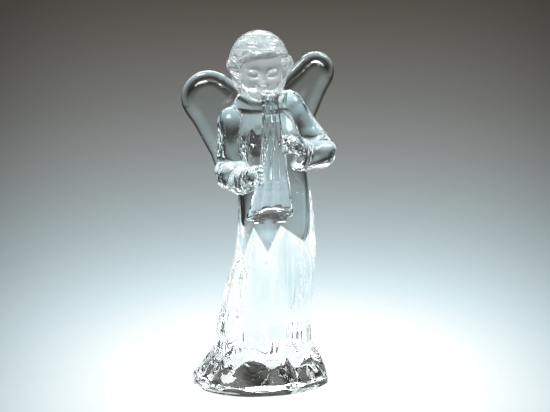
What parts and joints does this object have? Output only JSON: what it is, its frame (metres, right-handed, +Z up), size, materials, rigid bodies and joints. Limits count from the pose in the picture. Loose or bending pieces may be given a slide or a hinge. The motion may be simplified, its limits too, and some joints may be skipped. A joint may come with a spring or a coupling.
{
  "type": "glass angel figurine",
  "caption": "Clear crystal angel in a long robe on a thick oval foot, with open wings, blowing a long fluted horn held in front.",
  "frame": {"origin": "on the surface the figure stands on, under the middle of its overall box", "axes": "+Z up, the figure faces -Y, +X is to the viewer's right when looking at its face"},
  "size_m": [0.0962, 0.062, 0.2219],
  "materials": {
    "crystal": "polished"
  },
  "bodies": {
    "root": {"foot": "crystal", "hem": "crystal", "robe_back": "crystal", "front_panel": "crystal", "train": "crystal", "side_pleats": "crystal", "bodice": "crystal", "neck": "crystal", "face": "crystal", "hair_crown": "crystal", "hair_roll": "crystal", "hair_curl_left": "crystal", "hair_curl_right": "crystal", "wing_left": "crystal", "wing_right": "crystal", "wing_rim_left": "crystal", "wing_rim_right": "crystal", "sleeve_left": "crystal", "sleeve_right": "crystal", "cuff_left": "crystal", "cuff_right": "crystal", "hand_left": "crystal", "hand_right": "crystal", "horn_tube": "crystal", "horn_bell": "crystal", "horn_lip": "crystal"}
  },
  "joints": []
}
